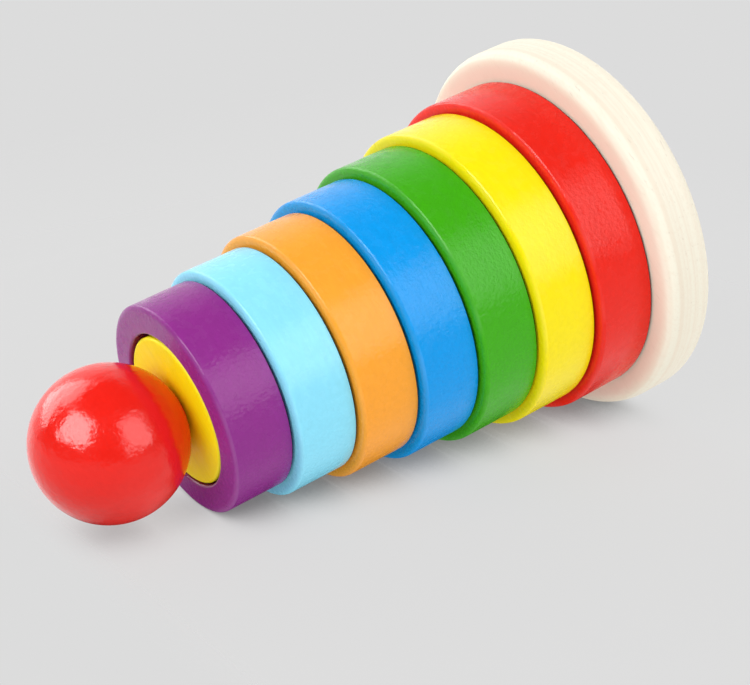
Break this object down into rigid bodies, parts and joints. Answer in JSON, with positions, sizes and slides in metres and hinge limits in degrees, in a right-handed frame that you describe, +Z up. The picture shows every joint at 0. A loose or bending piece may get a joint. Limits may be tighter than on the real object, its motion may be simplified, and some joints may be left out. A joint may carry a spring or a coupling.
{
  "type": "ring stacker toy",
  "caption": "Wooden ring stacking toy: round lacquered rings, graded in width, lift off a painted post with a ball top, on a plain disc base.",
  "frame": {"origin": "centre of the base's underside, which the toy stands on", "axes": "+Z up along the post, the axis that every piece is turned about; X and Y are any two directions across the base"},
  "size_m": [0.1, 0.1, 0.1648],
  "materials": {
    "bare_wood": "bare, fine sanded pale wood",
    "post_yellow": "satin lacquer",
    "ball_red": "high gloss lacquer",
    "dowel_wood": "bare wood",
    "screw_steel": "zinc plated",
    "ring_red": "satin lacquer",
    "ring_yellow": "satin lacquer",
    "ring_green": "satin lacquer",
    "ring_blue": "satin lacquer",
    "ring_orange": "satin lacquer",
    "ring_sky": "satin lacquer",
    "ring_purple": "satin lacquer"
  },
  "bodies": {
    "stand": {"base": "bare_wood", "post": "post_yellow", "ball": "ball_red", "ball_dowel": "dowel_wood", "base_screw": "screw_steel"},
    "red_ring": {"red_ring": "ring_red"},
    "yellow_ring": {"yellow_ring": "ring_yellow"},
    "green_ring": {"green_ring": "ring_green"},
    "blue_ring": {"blue_ring": "ring_blue"},
    "orange_ring": {"orange_ring": "ring_orange"},
    "sky_ring": {"sky_ring": "ring_sky"},
    "purple_ring": {"purple_ring": "ring_purple"}
  },
  "joints": [
    {"name": "red_ring_lift", "type": "slide", "parent": "stand", "child": "red_ring", "axis": [0, 0, 1], "range_m": [0, 0.155]},
    {"name": "yellow_ring_lift", "type": "slide", "parent": "red_ring", "child": "yellow_ring", "axis": [0, 0, 1], "range_m": [0, 0.139]},
    {"name": "green_ring_lift", "type": "slide", "parent": "yellow_ring", "child": "green_ring", "axis": [0, 0, 1], "range_m": [0, 0.123]},
    {"name": "blue_ring_lift", "type": "slide", "parent": "green_ring", "child": "blue_ring", "axis": [0, 0, 1], "range_m": [0, 0.106]},
    {"name": "orange_ring_lift", "type": "slide", "parent": "blue_ring", "child": "orange_ring", "axis": [0, 0, 1], "range_m": [0, 0.09]},
    {"name": "sky_ring_lift", "type": "slide", "parent": "orange_ring", "child": "sky_ring", "axis": [0, 0, 1], "range_m": [0, 0.074]},
    {"name": "purple_ring_lift", "type": "slide", "parent": "sky_ring", "child": "purple_ring", "axis": [0, 0, 1], "range_m": [0, 0.058]}
  ]
}
